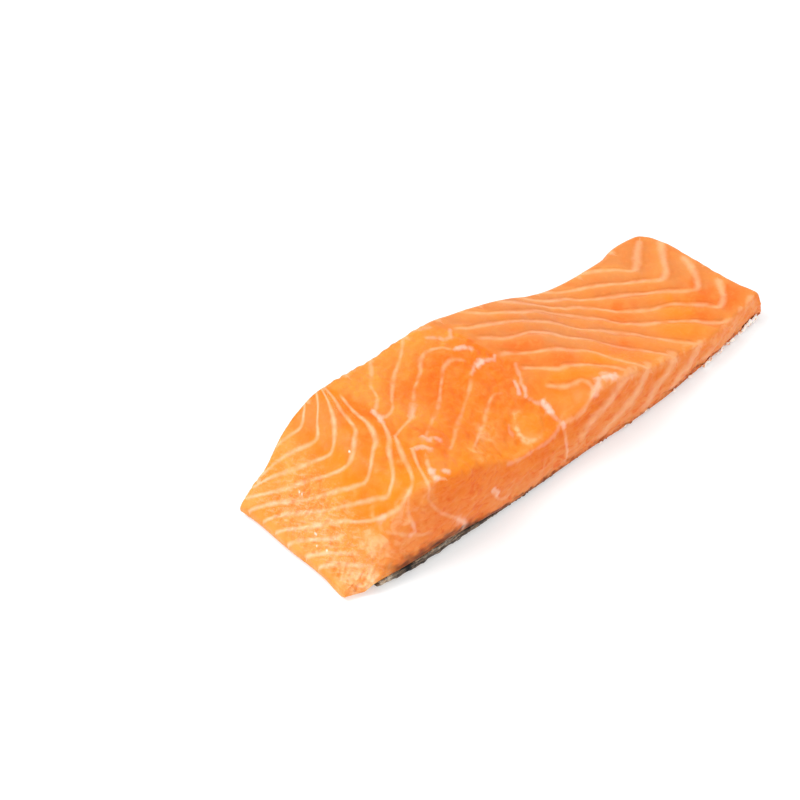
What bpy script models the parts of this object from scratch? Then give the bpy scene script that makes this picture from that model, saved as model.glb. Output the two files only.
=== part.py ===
"""Skin-on salmon fillet portion, lying on its skin.

Units are metres, +Z is up and the origin is under the middle of the portion, on the surface
it rests on. X runs across the fish, from the thick back (-X) to the thin belly (+X). The two
long sides are knife cuts, and -Y is the front one.

The flesh is one solid, lofted through upright cross-sections. The skin is a second solid, a
thin layer that runs under the flesh and laps up its front edge near the thick end.
"""
import bmesh
import bpy
import numpy as np

# Plan of the portion. Each pair is a place along X, measured from the thick end, and a Y
# measured from the front corner there.
length = 0.170
front_foot = ((0, 0), (0.009, -0.0033), (0.026, -0.0054), (0.060, -0.0060), (0.090, -0.0058),
              (0.105, -0.0064), (0.120, -0.0062), (0.135, -0.0049), (0.152, -0.0031),
              (0.170, -0.0010))
front_brow = ((0, 0.0003), (0.020, 0.0008), (0.030, -0.0016), (0.040, -0.0034),
              (0.060, -0.0042), (0.100, -0.0042), (0.145, -0.0036), (0.158, -0.0018),
              (0.170, 0))
back_edge = ((0, 0.0442), (0.008, 0.0448), (0.030, 0.0462), (0.075, 0.0462), (0.100, 0.0457),
             (0.125, 0.0440), (0.141, 0.0438), (0.153, 0.0453), (0.170, 0.0451))

# The two short ends. Each pair is a Y and the X where the end lies there.
thick_end = ((0, -0.0003), (0.014, 0.0004), (0.024, 0.0001), (0.038, 0.0004), (0.045, -0.0003))
thin_end = ((0.002, 0.1709), (0.010, 0.1694), (0.028, 0.1686), (0.035, 0.1679),
            (0.040, 0.1667), (0.0432, 0.1640), (0.0454, 0.1600))

# Height of the top along the front brow and along the back edge.
front_height = ((0, 0.0032), (0.005, 0.0036), (0.008, 0.0054), (0.010, 0.0083), (0.014, 0.0131),
                (0.020, 0.0195), (0.026, 0.0240), (0.036, 0.0250), (0.047, 0.0220),
                (0.058, 0.0155), (0.066, 0.0129), (0.078, 0.0135), (0.086, 0.0170),
                (0.095, 0.0208), (0.107, 0.0195), (0.118, 0.0152), (0.127, 0.0130),
                (0.142, 0.0100), (0.154, 0.0090), (0.170, 0.0093))
back_height = ((0, 0.0040), (0.004, 0.0074), (0.010, 0.0118), (0.017, 0.0198), (0.024, 0.0248),
               (0.033, 0.0276), (0.042, 0.0273), (0.054, 0.0267), (0.066, 0.0276),
               (0.075, 0.0270), (0.084, 0.0248), (0.096, 0.0214), (0.105, 0.0182),
               (0.114, 0.0144), (0.124, 0.0116), (0.135, 0.0104), (0.150, 0.0100),
               (0.157, 0.0102), (0.170, 0.0086))

# Rounding of the brow, soft where the top sags over the front, and of the other edges.
brow_radius = ((0, 0.0012), (0.006, 0.0020), (0.012, 0.0024), (0.020, 0.0020), (0.040, 0.0030),
               (0.060, 0.0045), (0.078, 0.0040), (0.095, 0.0020), (0.170, 0.0014))
back_radius = 0.0020
end_radius = 0.0014
face_bulge = 0.0007

# The skin, how high its front rim stands, and the corner where it is trimmed short.
skin_thickness = 0.0008
layer_gap = 0.0003
foot_radius = 0.0020
back_rim = 0.0009
front_rim = ((0.005, back_rim), (0.0085, 0.0030), (0.015, 0.0037), (0.030, 0.0043),
             (0.042, 0.0034), (0.055, 0.0015), (0.070, back_rim))
skin_inset = 0.0006
trimmed_length = 0.0090
trimmed_width = 0.0100
trimmed_from = 0.0005
bare_clearance = 0.0002
bare_margin = 0.0022
bare_slope = 0.0016

# Muscle layers fold in a W across the fish: each pair is a place along X and how far the fold
# has run along Y there.
muscle_fold = ((0, 0.0240), (0.021, 0), (0.035, 0.0120), (0.078, 0.0400), (0.152, -0.0300),
               (0.170, -0.0110))
layer_pitch = 0.0076
layer_relief = 0.0003
face_layer_pitch = 0.0085
face_layer_lean = 0.9
face_relief = 0.0004

# Seam between the back muscle and the flank. Each pair is a Y and the X of the seam there.
seam_line = ((-0.004, 0.0325), (0.010, 0.0352), (0.026, 0.0371), (0.046, 0.0330))
seam_depth = 0.0007
seam_width = 0.0022

# Middle of the plan, which the origin lies under.
middle_x = 0.0853
middle_y = 0.0202

# Fineness of the loft: points along X and points round a cross-section.
flesh_stations = 90
skin_stations = 46
end_steps = (0.0003, 0.0008)
top_points = 25
round_points = 3
face_points = 5
foot_points = 3
sole_points = 6


def along(pairs, place):
    """Smooth curve through (place, value) pairs, without overshoot, level past its ends."""
    at, value = np.array(pairs, dtype=float).T
    step = np.diff(at)
    slope = np.diff(value) / step
    before, after = slope[:-1], slope[1:]
    turning = before * after <= 0
    tangent = np.empty_like(at)
    tangent[0], tangent[-1] = slope[0], slope[-1]
    tangent[1:-1] = np.where(turning, 0, 2 * before * after / np.where(turning, 1, before + after))
    place = np.clip(place, at[0], at[-1])
    span = np.clip(np.searchsorted(at, place, side="right") - 1, 0, len(at) - 2)
    t = (place - at[span]) / step[span]
    start = (1 + 2 * t) * (1 - t) ** 2 * value[span] + t * (1 - t) ** 2 * step[span] * tangent[span]
    end = t * t * (3 - 2 * t) * value[span + 1] - t * t * (1 - t) * step[span] * tangent[span + 1]
    return start + end


def round_off(distance, radius):
    """How far a rounded edge has dropped, at a distance in from the edge."""
    k = np.clip(1 - distance / radius, 0, 1)
    return radius * (1 - np.sqrt(1 - k * k))


def flesh_x(station, y):
    """X of a flesh cross-section at a given Y, fanned out to follow the two uneven ends."""
    start = along(thick_end, y)
    return start + station / length * (along(thin_end, y) - start)


def skin_start(y):
    """X where the skin begins at the thick end, trimmed short round the front corner."""
    corner = np.clip(1 - (y - trimmed_from) / trimmed_width, 0, 1)
    return along(thick_end, y) + skin_inset + trimmed_length * corner ** 2


def skin_x(station, y):
    """X of a skin cross-section at a given Y."""
    start = skin_start(y)
    return start + station / length * (along(thin_end, y) - skin_inset - start)


def edge_y(pairs, station, x_of):
    """Y of an edge where a fanned cross-section meets it."""
    return float(along(pairs, x_of(station, along(pairs, station))))


def top_height(x, y):
    """Height of the top, with its muscle layers, its seam and its rounded short ends."""
    front, back = along(front_brow, x), along(back_edge, x)
    t = np.clip((y - front) / (back - front), 0, 1)
    lift = 1 - (1 - t) ** 2
    height = along(front_height, x) * (1 - lift) + along(back_height, x) * lift
    thick = np.clip(height / 0.008, 0.2, 1)
    layer = 2 * np.abs(np.sin(np.pi * (y - along(muscle_fold, x)) / layer_pitch)) - 1
    seam = (x - along(seam_line, y)) / seam_width
    end = np.maximum(np.minimum(x - along(thick_end, y), along(thin_end, y) - x), 0)
    height += layer_relief * thick * layer
    height -= seam_depth * np.exp(-seam * seam)
    return height - thick * round_off(end, end_radius)


def bare_sag(x, y):
    """How far the flesh's underside sinks where no skin is under it."""
    t = np.clip((skin_start(y) - bare_margin - x) / bare_slope, 0, 1)
    return (skin_thickness + layer_gap - bare_clearance) * t * t * (3 - 2 * t)


def foot_outline(edge, inward, inset, rim):
    """(y, z) points down a plumb side from a rim, round the foot and in to the sole.

    edge is the side's Y, inward is 1 at the front and -1 at the back, and inset sets the
    whole outline in.
    """
    radius = foot_radius - inset
    first = np.arcsin(np.clip((foot_radius - rim) / radius, 0, 1))
    angles = np.linspace(first, np.pi / 2, foot_points + 1)
    if rim > foot_radius:
        angles = np.linspace(0, np.pi / 2, foot_points)
    outline = [(edge + inward * (foot_radius - radius * np.cos(a)), foot_radius - radius * np.sin(a))
               for a in angles]
    if rim > foot_radius:
        outline.insert(0, (edge + inward * inset, rim))
    return outline


def sole_places(front, back):
    """Y of the points across the sole, closer together near its trimmed front corner."""
    spread = np.linspace(0, 1, sole_points + 2)[1:-1] ** 1.5
    return front + (back - front) * spread


def cut_side(station, brow, foot, inward, crest, radius, rim):
    """(y, z) points of a knife-cut side: the rounded brow, the face and the rebate for the skin.

    The face swells a little, and the muscle layers that the knife crossed run down it aslant.
    """
    points = []
    for angle in np.linspace(0, np.pi / 2, round_points + 1)[1:]:
        points.append((brow + inward * radius * (1 - np.sin(angle)),
                       crest - radius * (1 - np.cos(angle))))
    top = crest - radius
    rim = min(rim, top - bare_clearance)
    for step in range(1, face_points + 1):
        t = step / face_points
        z = top + t * (rim - top)
        groove = 1 - abs(np.sin(np.pi * (station + face_layer_lean * z) / face_layer_pitch))
        swell = (face_bulge - face_relief * groove) * np.sin(np.pi * t) * min(top / 0.012, 1)
        points.append((brow + t * (foot - brow) - inward * swell, z))
    return points + foot_outline(foot, inward, skin_thickness + layer_gap, rim)


def flesh_ring(station):
    """Points round one cross-section of the flesh: the top, the front, the sole and the back."""
    brow, foot = (edge_y(pairs, station, flesh_x) for pairs in (front_brow, front_foot))
    back = edge_y(back_edge, station, flesh_x)
    depth = float(along(front_height, station)) - skin_thickness - layer_gap
    radius = min(float(along(brow_radius, station)), depth / 4)
    rear_radius = min(back_radius, depth / 4)
    top_y = np.linspace(back - rear_radius, brow + radius, top_points)
    top = [(y, float(top_height(flesh_x(station, y), y))) for y in top_y]
    rim = float(along(front_rim, flesh_x(station, foot))) + layer_gap
    front = cut_side(station, brow, foot, 1, top[-1][1], radius, rim)
    rear = cut_side(station, back, back, -1, top[0][1], rear_radius, back_rim + layer_gap)
    sole = [(y, front[-1][1]) for y in sole_places(front[-1][0], rear[-1][0])]
    low = round_points + face_points
    lower = front[low:] + sole + rear[:low - 1:-1]
    lower = [(y, z - float(bare_sag(flesh_x(station, y), y))) for y, z in lower]
    outline = top + front[:low] + lower + rear[low - 1::-1]
    return [(float(flesh_x(station, y)), y, z) for y, z in outline]


def skin_ring(station):
    """Points round one cross-section of the skin: its outer face, then its inner face."""
    front, back = (edge_y(pairs, station, skin_x) for pairs in (front_foot, back_edge))
    rim = float(along(front_rim, skin_x(station, front)))
    faces = []
    for inset in (0, skin_thickness):
        fore = foot_outline(front, 1, inset, rim)
        rear = foot_outline(back, -1, inset, back_rim)
        sole = [(y, inset) for y in sole_places(fore[-1][0], rear[-1][0])]
        faces.append(fore + sole + rear[::-1])
    outline = faces[0] + faces[1][::-1]
    return [(float(skin_x(station, y)), y, z) for y, z in outline]


def stations(count):
    """Places of the cross-sections along the portion, closer together at its rounded ends."""
    inner = np.linspace(0, length, count - 2 * len(end_steps))
    ends = [length - step for step in end_steps]
    return sorted([*inner, *end_steps, *ends])


def lofted_object(name, rings, material):
    """Closed object through rings of equal count, with both ends filled."""
    shape = bmesh.new()
    rows = [[shape.verts.new(point) for point in ring] for ring in rings]
    for row, following in zip(rows, rows[1:]):
        for a, b in zip(range(-1, len(row)), range(len(row))):
            shape.faces.new((row[a], following[a], following[b], row[b]))
    for row in (rows[0], rows[-1]):
        edges = [shape.edges.get((row[i - 1], row[i])) for i in range(len(row))]
        bmesh.ops.triangle_fill(shape, edges=edges, use_beauty=True)
    bmesh.ops.translate(shape, verts=shape.verts, vec=(-middle_x, -middle_y, 0))
    bmesh.ops.triangulate(shape, faces=shape.faces)
    bmesh.ops.recalc_face_normals(shape, faces=shape.faces)
    mesh = bpy.data.meshes.new(name)
    shape.to_mesh(mesh)
    shape.free()
    mesh.shade_smooth()
    mesh.set_sharp_from_angle(angle=np.radians(40))
    mesh.materials.append(material)
    bpy.context.collection.objects.link(bpy.data.objects.new(name, mesh))


def surface(name, colour, roughness):
    """Opaque material of one colour."""
    material = bpy.data.materials.new(name)
    material.use_nodes = True
    shader = material.node_tree.nodes["Principled BSDF"]
    shader.inputs["Base Color"].default_value = (*colour, 1)
    shader.inputs["Roughness"].default_value = roughness
    shader.inputs["Metallic"].default_value = 0
    return material


def make_flesh():
    rings = [flesh_ring(station) for station in stations(flesh_stations)]
    lofted_object("salmon_flesh", rings, surface("salmon_flesh", (0.91, 0.33, 0.09), 0.35))


def make_skin():
    rings = [skin_ring(station) for station in stations(skin_stations)]
    lofted_object("salmon_skin", rings, surface("salmon_skin", (0.14, 0.15, 0.14), 0.30))


for old in list(bpy.data.objects):
    bpy.data.objects.remove(old, do_unlink=True)
make_flesh()
make_skin()
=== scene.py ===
"""Looks of the skin-on salmon portion: its flesh with folded muscle layers, and its skin.

Sizes are in millimetres and become metres when a mesh is made. Places are measured as in the
construction: X from the thick end, Y from the front corner there, Z up from the surface below.
"""

from types import SimpleNamespace

import bmesh
import bpy
import numpy as np
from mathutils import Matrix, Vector, kdtree
from mathutils.geometry import delaunay_2d_cdt


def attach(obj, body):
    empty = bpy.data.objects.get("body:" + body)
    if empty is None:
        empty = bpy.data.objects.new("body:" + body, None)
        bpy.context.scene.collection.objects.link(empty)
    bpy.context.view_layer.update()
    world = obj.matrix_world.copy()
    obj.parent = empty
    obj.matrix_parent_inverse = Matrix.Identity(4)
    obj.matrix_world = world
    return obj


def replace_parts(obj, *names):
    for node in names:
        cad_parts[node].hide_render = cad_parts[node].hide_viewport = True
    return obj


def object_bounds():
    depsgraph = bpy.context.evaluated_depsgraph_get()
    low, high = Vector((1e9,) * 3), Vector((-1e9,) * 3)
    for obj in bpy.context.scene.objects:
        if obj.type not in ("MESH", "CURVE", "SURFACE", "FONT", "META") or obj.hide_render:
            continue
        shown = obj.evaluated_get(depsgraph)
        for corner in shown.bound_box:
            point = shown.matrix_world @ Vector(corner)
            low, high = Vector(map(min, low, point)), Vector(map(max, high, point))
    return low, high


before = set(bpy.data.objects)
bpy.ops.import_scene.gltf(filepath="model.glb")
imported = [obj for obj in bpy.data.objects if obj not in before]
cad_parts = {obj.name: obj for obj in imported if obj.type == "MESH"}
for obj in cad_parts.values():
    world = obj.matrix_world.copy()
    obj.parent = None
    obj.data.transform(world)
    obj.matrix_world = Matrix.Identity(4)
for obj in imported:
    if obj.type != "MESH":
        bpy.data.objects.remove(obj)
cad_low, cad_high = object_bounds()
metres = 0.001

# Plan, heights and roundings of the portion, with the values of the construction.
length = 170
front_foot = (
    (0, 0), (9, -3.3), (26, -5.4), (60, -6), (90, -5.8), (105, -6.4), (120, -6.2), (135, -4.9),
    (152, -3.1), (170, -1),
)
front_brow = (
    (0, 0.3), (20, 0.8), (30, -1.6), (40, -3.4), (60, -4.2), (100, -4.2), (145, -3.6), (158, -1.8),
    (170, 0),
)
back_edge = (
    (0, 44.2), (8, 44.8), (30, 46.2), (75, 46.2), (100, 45.7), (125, 44), (141, 43.8), (153, 45.3),
    (170, 45.1),
)
thick_end = ((0, -0.3), (14, 0.4), (24, 0.1), (38, 0.4), (45, -0.3))
thin_end = ((2, 170.9), (10, 169.4), (28, 168.6), (35, 167.9), (40, 166.7), (43.2, 164), (45.4, 160))
front_height = (
    (0, 3.2), (5, 3.6), (8, 5.4), (10, 8.3), (14, 13.1), (20, 19.5), (26, 24), (36, 25), (47, 22),
    (58, 15.5), (66, 12.9), (78, 13.5), (86, 17), (95, 20.8), (107, 19.5), (118, 15.2), (127, 13),
    (142, 10), (154, 9), (170, 9.3),
)
back_height = (
    (0, 4), (4, 7.4), (10, 11.8), (17, 19.8), (24, 24.8), (33, 27.6), (42, 27.3), (54, 26.7),
    (66, 27.6), (75, 27), (84, 24.8), (96, 21.4), (105, 18.2), (114, 14.4), (124, 11.6), (135, 10.4),
    (150, 10), (157, 10.2), (170, 8.6),
)
brow_radius = ((0, 1.2), (6, 2), (12, 2.4), (20, 2), (40, 3), (60, 4.5), (78, 4), (95, 2), (170, 1.4))
back_radius = 2.0
end_radius = 1.4
face_bulge = 0.7
skin_thickness = 0.8
layer_gap = 0.3
foot_radius = 2.0
back_rim = 0.9
front_rim = ((5, back_rim), (8.5, 3), (15, 3.7), (30, 4.3), (42, 3.4), (55, 1.5), (70, back_rim))
skin_inset = 0.6
trimmed_length = 9.0
trimmed_width = 10.0
trimmed_from = 0.5
bare_clearance = 0.2
bare_margin = 2.2
bare_slope = 1.6
seam_line = ((-4, 32.5), (10, 35.2), (26, 37.1), (46, 33))
middle = np.array((85.3, 20.2, 0))

# Fineness of the two meshes: cross-sections along X and points round one. Then how far a mesh
# may stand out of the construction's box, and how many waves a random one is made of.
flesh_stations = 420
top_points = 116
side_points = 42
foot_points = 4
sole_points = 12
skin_stations = 340
skin_sole_points = 104
brow_steps = 12
face_steps = 24
end_steps = (0.25, 0.6)
end_grid = 0.45
overhang = 0.2
wave_count = 32

# Septa, the pale sheets between muscle layers, as runs of (X, Y) places where they cross the
# top. Those of the back muscle fold over its ridge and fan out down the thick end.
back_septa = (
    ((26.2, 45.8), (23.9, 43.6), (20.5, 41.3), (17.9, 42.5), (14.3, 44.9)),
    ((30.6, 46), (27.6, 41.8), (24.3, 38.5), (20.5, 34.8), (16.1, 38.3), (11.4, 42.7), (6.5, 44.6)),
    ((32.2, 46), (30.3, 40.8), (27.5, 35.3), (22.4, 29.3), (20.4, 28.3), (17, 31), (13.4, 35.4),
     (9.1, 40.9), (4.8, 43.8)),
    ((33, 45.8), (31.9, 40.2), (30.4, 35.3), (28.7, 27.4), (26.7, 25.4), (20.9, 21.7), (17.1, 24.3),
     (12.2, 31.3), (5.1, 39.4), (2, 43.4)),
    ((34.4, 40.6), (32.6, 32.2), (32.5, 27.6), (30.3, 20.9), (27.5, 18.7), (20.6, 14.1), (18.7, 15.6),
     (13.9, 22), (5.1, 34.6), (0, 40.9)),
    ((36.4, 28.1), (35.9, 24.5), (33.2, 18.4), (30.3, 15.3), (24.7, 7.7), (21.4, 6.1), (19.3, 8.5),
     (16.7, 11.8), (4.9, 29.6), (0.4, 34.7)),
    ((35.1, 18.1), (31.8, 11.7), (29.2, 5.3), (27.4, 2.9), (24.2, 1.3), (21.9, 1.2), (16.9, 4.5),
     (13.7, 9.4), (10.6, 15.9), (4.7, 23.4), (0.3, 29.2)),
    ((9.5, 12), (4.2, 18.7), (0.1, 23.7)),
    ((9, 6), (3.9, 13.2), (0.4, 16.9)),
    ((8.5, 1.8), (5.2, 7.1), (0.6, 11.3)),
)
# Short septa that branch where the back muscle meets the flank.
seam_septa = (
    ((35.1, 11.1), (33.7, 8.6), (32.3, 5.6), (30.5, 0.5), (29.8, -1.4)),
    ((35.1, 11.6), (38, 10.6), (38.7, 7.8)),
    ((36.4, 7), (33.8, 3.1), (32.4, 0.1), (35, -2)),
)
# Thin, broken septa of the hollow in the middle.
middle_septa = (
    ((50.9, 45.6), (46.6, 40.3), (43, 36.5), (41.7, 32.9), (38.9, 29.8), (36.7, 28.4)),
    ((64, 45.8), (58.1, 40.5), (50.9, 35.6), (44.3, 29.3), (41.7, 26.2), (39.7, 25.3), (36.6, 25.2)),
    ((71.6, 31.9), (68, 35.5), (64.7, 36.3), (61.3, 35.5), (58, 32.3), (50.7, 27.2), (47.3, 23.4),
     (43.4, 20.4), (37.3, 18.7), (35.1, 18.1)),
    ((71.9, 26.8), (67.8, 30), (64.5, 29.3), (60.6, 26.1), (52.8, 19.5), (47.1, 16.1), (42, 12.7),
     (40.2, 11.4)),
    ((68.8, 22.1), (65.7, 19.9), (57.7, 14.7), (51.4, 10.7), (46.9, 7.1), (42.5, 4.6)),
    ((73.4, 13.3), (70.1, 14.4), (66.6, 12.9), (61, 9.3), (55.5, 6), (50.1, 2.5)),
)
# Long septa of the flank, from the belly end inwards. The first five turn back at the end.
flank_septa = (
    ((134, 43.7), (141.4, 39.8), (145.7, 36.8), (149.5, 33), (151.8, 34.1), (155.7, 37.5), (160.6, 41)),
    ((117, 44.2), (123.9, 40), (129.2, 37.8), (135.4, 35.3), (146.9, 28), (152.8, 24.3), (155.8, 25.4),
     (159.1, 29.3), (165.9, 36.7)),
    ((108.5, 43.8), (116.8, 38.2), (122.3, 36.8), (127.2, 33), (138.6, 27), (147.9, 20.6),
     (154.1, 15.9), (157.2, 14.2), (160.7, 16.9), (163.9, 21.9), (165.8, 26.9)),
    ((100.5, 43.5), (109.6, 38.9), (118.2, 32.9), (122.5, 31.4), (130.9, 22.5), (136.4, 18.3),
     (147.2, 14.2), (154.2, 7.4), (156.9, 4.2), (160.2, 5.8), (165.6, 12.3)),
    ((85.5, 44.3), (90.4, 41.1), (101.9, 36.8), (109.6, 34.7), (113.5, 32.3), (120.2, 26.4),
     (124.4, 22.1), (126.6, 18.5), (131.7, 14), (144.9, 5.6), (151.5, -0.7), (156.5, -2.2), (162, -1.6),
     (167, 0.2)),
    ((76.8, 39.1), (83.3, 36.6), (93.2, 34.5), (100.2, 32.3), (105.7, 29.2), (110.5, 25.5),
     (114.6, 21.2), (119.6, 17.6), (127.3, 10.1), (133, 2.3), (139.5, -3.7)),
    ((80.4, 33.2), (88.2, 28.3), (97.6, 26.4), (102.2, 23.2), (106.3, 18.9), (111.4, 15.5),
     (115.3, 10.8), (121.2, 4.5), (127.5, -4)),
    ((81.2, 25.1), (90.2, 19.8), (97.7, 16.3), (102.7, 12.9), (106.9, 8.8), (109.4, 2.9), (113.8, -2),
     (116.5, -4.1)),
    ((82.8, 17.5), (87.3, 14.2), (92.4, 9.5), (95.6, 8.8), (100.6, 5.5), (104.7, 1.2), (107.8, -4.2)),
    ((84.3, 9.1), (90.5, 3.2), (93.3, 2.3), (94.1, 0.4), (93.4, -2.3), (91, -3.8), (87, -4.1),
     (81.2, -3)),
)
# Where the flank's septa turn back towards the thick end, as (Y, X) places.
turning_line = ((-4, 150), (4, 156.5), (14, 157), (24.3, 153), (33, 149.5), (44, 147))
# Septa down the front cut, as (X, Z) places, from the thick end to the thin end.
front_septa = (
    ((16.4, 14.6), (21.9, 12.2), (29.2, 9.7)),
    ((24, 22.8), (23.5, 21.4), (22.8, 17.8), (23.4, 13.2)),
    ((29.8, 23.6), (29.1, 20.5), (30.8, 16.3), (37.2, 9.6), (39.7, 5.2), (37, 4), (31.5, 4.5)),
    ((50.6, 10.4), (53.3, 6.4), (58.9, 4.8)),
    ((80.7, 14), (80.6, 11), (80.2, 7.2), (79.4, 4)),
    ((88.9, 17.6), (83.6, 15.2), (81.9, 14.5)),
    ((107.9, 19), (102.7, 17.4), (97.6, 14.9), (90.6, 12.1), (84.2, 7.7)),
    ((117, 15.4), (111.2, 12.7), (106.8, 10.2), (96.8, 5.6), (92, 2.8)),
    ((127.7, 12.8), (123.9, 9.8), (117.8, 7.4), (110.6, 2.9)),
    ((139.8, 10), (135.3, 7.4), (127.1, 4.8), (122.7, 2.6)),
    ((151.5, 8.7), (146.5, 5.8), (139, 2.6)),
    ((161, 8.6), (156, 4.8), (151, 2.4)),
)
# Septa down the back cut lean by a rule, from these places along X, and so do those down the
# thin end, from these places along Y.
back_cut_septa = (6.5, 14.3, 26.2, 32.2, 41, 50.9, 64, 76, 85.5, 93, 100.5, 108.5, 117, 134, 150)
back_cut_lean = 0.9
thin_end_septa = (1.8, 12.3, 20, 26.9, 36.7)
thin_end_lean = 0.35

# Shreds of connective tissue, each a half-width, a strength and a short run: (X, Y) places on
# the top, and (X, Z) places on the front cut. The last two of the top are the pale rims of the
# fat lobe and of the hollow.
top_shreds = (
    (0.55, 0.6, ((78.8, 14.6), (78, 12.4), (76.9, 11))),
    (0.5, 0.5, ((79.8, 12.4), (79, 10.6), (78.2, 9.4))),
    (0.5, 0.28, ((83.4, 19), (81, 14.8), (79.8, 12.8))),
    (0.5, 0.4, ((78.6, 8.2), (79.4, 6.4), (80.4, 5.6))),
    (0.8, 0.95, ((81.1, 5.4), (81, 3.9), (80.7, 2.4))),
    (0.45, 0.4, ((80.7, 2.2), (80.4, 0.8), (80.9, -1.6))),
    (0.6, 0.55, ((81, -2.6), (81, -3.6))),
    (0.6, 0.45, ((69.3, 23), (73.3, 24.7), (77.2, 24.1), (79, 23.6), (80.5, 24.6))),
    (0.9, 0.8, ((72.8, 24.2), (75.6, 24.6))),
    (0.6, 0.35, ((68.3, 40.4), (70.9, 38.4), (73.7, 36.4), (76.2, 38.9))),
    (0.6, 0.25, ((67.8, 45), (72, 43))),
    (0.8, 0.65, ((72.1, 32.1), (74.1, 31.3), (75.8, 30.2))),
    (0.7, 0.55, ((36.7, 28.9), (36.7, 26.8), (35.9, 24.3))),
    (0.6, 0.45, ((36.3, 10.5), (37.8, 9.7), (38.6, 7.7))),
    (0.8, 0.25, ((47.5, 24), (43.6, 20.7))),
    (0.9, 0.5, ((40.6, 11.9), (41.4, 11))),
    (0.7, 0.45, ((43, 10.2), (43.8, 9.4))),
    (0.85, 0.55, ((36.4, 0.2), (37.3, -0.8))),
    (0.8, 0.65, ((33.9, 2.4), (33.2, -0.4))),
    (1.4, 0.7, ((101.6, -2.6), (99.6, -1.2))),
    (0.9, 0.55, ((97.5, -0.7), (94.3, -3), (92.4, -3.7))),
    (0.8, 0.3, ((17.6, 4), (16.6, 3.4), (15.8, 3.2))),
    (0.5, 0.22, ((67.4, 5.4), (66.4, 4.2), (66.2, 2.8))),
    (0.5, 0.26, ((80.8, -2), (78.3, -3.2), (73.8, -3.7), (66.8, -3.5), (58.1, -3.7))),
)
front_shreds = (
    (0.4, 0.35, ((80.3, 11), (80.2, 7.4), (79.5, 3.6))),
    (0.7, 0.55, ((51.2, 11.2), (52.2, 9.4))),
    (1.2, 0.45, ((37.2, 9.6), (38.6, 7.4), (39.4, 6))),
    (0.6, 0.4, ((21.8, 12.1), (23.2, 13.5), (22.6, 16))),
)

# The lobe of fat in the hollow: its middle, its half-lengths along X and Y, its height and
# the depth of the groove round it.
lobe_middle = (72.4, 2.8)
lobe_half = (5.2, 4.3)
lobe_height = 0.55
groove_depth = 0.10

# The line between the hollow and the flank's folded layers, as (Y, X) places.
tissue_line = (
    (-6, 80.9), (5, 80.9), (9, 78.4), (12, 79.4), (19, 83), (25, 80.2), (33, 79), (38, 76), (46, 72),
)

# Tinted places, each (X, Y, radius).
yellow_spots = (
    (17, 5, 5), (6, 0, 3), (24, 2, 3), (4, 36, 4), (9, 44, 5), (25, 8, 6), (46, 0, 4), (53, 1, 5),
    (61, -1, 5), (72, 3, 6), (36, 8, 3), (88, 6, 6), (97, 4, 6), (108, 5, 7), (118, 2, 6), (140, 4, 9),
    (147, 12, 6),
)
deep_spots = (
    (78, 18, 4), (81, 10, 2.5), (75.6, 9, 2.5), (58.7, 28.5, 4), (59, 21, 4), (41, 15.5, 3), (42, 7, 3),
    (65, 3.6, 3), (72, 15, 5), (50, 30, 6), (88, 22, 7), (96, 12, 5), (117, 8, 5), (132, 22, 5),
    (163, 4, 6), (8.5, 14.6, 2), (6.2, 30, 2), (13.5, 15, 1.5), (6.4, 36.6, 2), (157, 8, 4),
    (150, 5, 4), (9, 29, 5), (31, 34, 4), (35, 29, 3), (29, 13, 3), (34, 8, 3), (35, 19, 3),
    (45, 11, 3), (156, 14, 4), (10.7, 22.4, 2.5),
)
pale_spots = (
    (15, 15, 1.4), (7.9, 20.3, 1.6), (14.2, 2, 1.8), (9.3, 1.9, 2.8), (11.6, 0.6, 2.3), (2, -0.3, 2.5),
    (5, 3, 2.5), (48, 1, 3), (55, -2.6, 2.5), (63, -3, 3), (70, -2.5, 3), (13.4, 5.5, 1.6),
)
creamy_spots = ((49.5, 0.8, 3), (54, 3, 3), (58.5, 6, 3), (62, 9, 2.5))
# The glints are painted highlights: small pale dots of wet sparkle at these (X, Y) places, each of
# glint_radius.
glints = ((10.5, 29.5), (5.9, 18.8), (4.9, 13.1), (10.3, 30.8), (4, 16.2), (23.2, 23.9))
glint_radius = 0.27

# Strengths of the pale lines and of the layers' light and dark, and heights of the layers and
# lines, each for the back muscle, the hollow and the flank. Then those of the cut sides, and the
# heights of the shreds, of the dip along the seam and of the step where the flank begins.
line_strengths = (0.66, 0.56, 0.50)
tone_strengths = (0.20, 0.34, 0.58)
layer_heights = (0.16, 0.24, 0.50)
line_heights = (0.04, 0.03, -0.02)
cut_line_strength = 0.55
cut_band_tone = 0.62
cut_ridge = 0.15
shred_height = 0.12
seam_depth = 0.55
tissue_step = 0.45


def along(pairs, place):
    """Smooth curve through (place, value) pairs, without overshoot, level past its ends."""
    at, value = np.array(pairs, dtype=float).T
    step = np.diff(at)
    slope = np.diff(value) / step
    before, after = slope[:-1], slope[1:]
    turning = before * after <= 0
    tangent = np.empty_like(at)
    tangent[0], tangent[-1] = slope[0], slope[-1]
    tangent[1:-1] = np.where(turning, 0, 2 * before * after / np.where(turning, 1, before + after))
    place = np.clip(place, at[0], at[-1])
    span = np.clip(np.searchsorted(at, place, side="right") - 1, 0, len(at) - 2)
    t = (place - at[span]) / step[span]
    start = (1 + 2 * t) * (1 - t) ** 2 * value[span] + t * (1 - t) ** 2 * step[span] * tangent[span]
    end = t * t * (3 - 2 * t) * value[span + 1] - t * t * (1 - t) * step[span] * tangent[span + 1]
    return start + end


def round_off(distance, radius):
    """How far a rounded edge has dropped, at a distance in from the edge."""
    k = np.clip(1 - distance / radius, 0, 1)
    return radius * (1 - np.sqrt(1 - k * k))


def smooth(value, low, high):
    """Soft step from 0 at low to 1 at high."""
    t = np.clip((value - low) / (high - low), 0, 1)
    return t * t * (3 - 2 * t)


def fall(value, low, high):
    """Soft step from 1 at low to 0 at high."""
    return 1 - smooth(value, low, high)


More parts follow.
